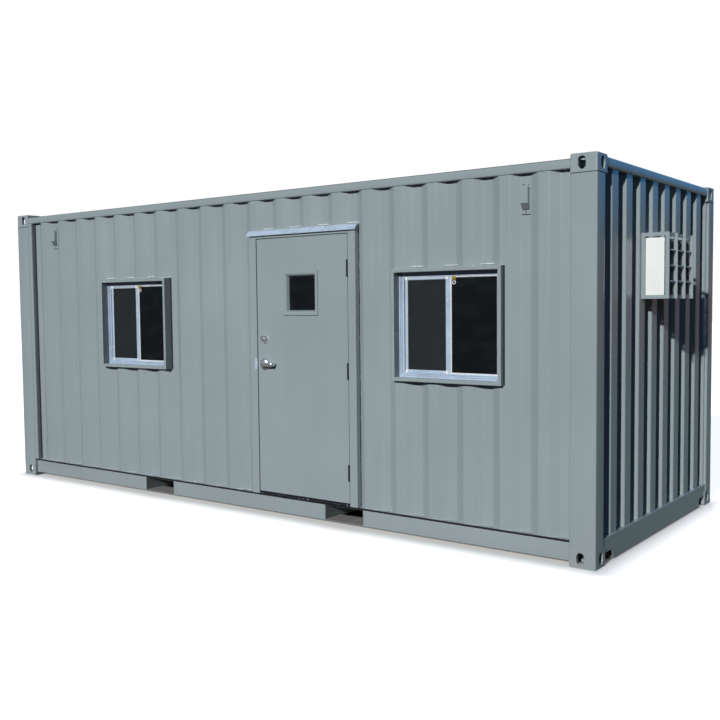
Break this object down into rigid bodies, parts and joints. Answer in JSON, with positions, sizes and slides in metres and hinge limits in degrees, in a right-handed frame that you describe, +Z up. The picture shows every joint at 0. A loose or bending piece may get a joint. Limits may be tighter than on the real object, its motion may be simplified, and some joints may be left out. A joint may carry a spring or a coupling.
{
  "type": "shipping container cabin",
  "caption": "Steel shipping container fitted out as a site cabin, with a hinged steel door, framed sliding windows and a caged air conditioner on one end.",
  "frame": {"origin": "on the ground under the middle of the four bottom corner castings", "axes": "+X along the box to the end with the air conditioner, +Y to the back wall (the door faces -Y), +Z up"},
  "size_m": [6.228, 2.502, 2.591],
  "materials": {
    "container_paint": "satin",
    "window_aluminium": "satin",
    "mill_aluminium": "brushed",
    "insect_mesh": "matte",
    "window_glass": "gloss",
    "plywood": "sealed",
    "chrome": "polished",
    "hinge_steel": "satin",
    "white_casing": "satin",
    "coil_fins": "matte"
  },
  "bodies": {
    "cabin": {"bottom_corner_castings": "container_paint", "top_corner_castings": "container_paint", "corner_posts": "container_paint", "top_side_rails": "container_paint", "bottom_side_rails": "container_paint", "end_headers": "container_paint", "end_sills": "container_paint", "fork_pockets": "container_paint", "floor_cross_members": "container_paint", "plywood_floor": "plywood", "roof_panel": "container_paint", "back_wall": "container_paint", "left_end_wall": "container_paint", "right_end_wall_front": "container_paint", "right_end_wall_back": "container_paint", "right_end_wall_below_ac": "container_paint", "right_end_wall_above_ac": "container_paint", "front_wall_left": "container_paint", "front_wall_below_windows": "container_paint", "front_wall_above_windows": "container_paint", "front_wall_left_of_door": "container_paint", "front_wall_above_door": "container_paint", "front_wall_right_of_door": "container_paint", "front_wall_right": "container_paint", "window_surrounds": "container_paint", "window_frames": "window_aluminium", "window_screens": "insect_mesh", "window_glass": "window_glass", "door_jambs": "container_paint", "door_head": "container_paint", "door_threshold": "mill_aluminium", "drip_cap": "mill_aluminium", "frame_side_hinges": "hinge_steel", "strike_plate": "chrome", "ac_casing": "white_casing", "ac_coil": "coil_fins", "ac_guard_cage": "container_paint", "wall_vents": "container_paint"},
    "door": {"door_leaf": "container_paint", "vision_panel_trim": "container_paint", "vision_panel_glass": "window_glass", "door_side_hinges": "hinge_steel", "deadbolt": "chrome", "lever_roses": "chrome"},
    "lever": {"door_lever": "chrome"}
  },
  "joints": [
    {"name": "door_hinge", "type": "hinge", "parent": "cabin", "child": "door", "pos_m": [1.117, -1.236, 1.195], "axis": [0, 0, 1], "range_deg": [0, 170]},
    {"name": "lever_spindle", "type": "hinge", "parent": "door", "child": "lever", "pos_m": [0.284, -1.226, 1.213], "axis": [0, 1, 0], "range_deg": [0, 45], "stiffness_Nm_per_rad": 1}
  ]
}
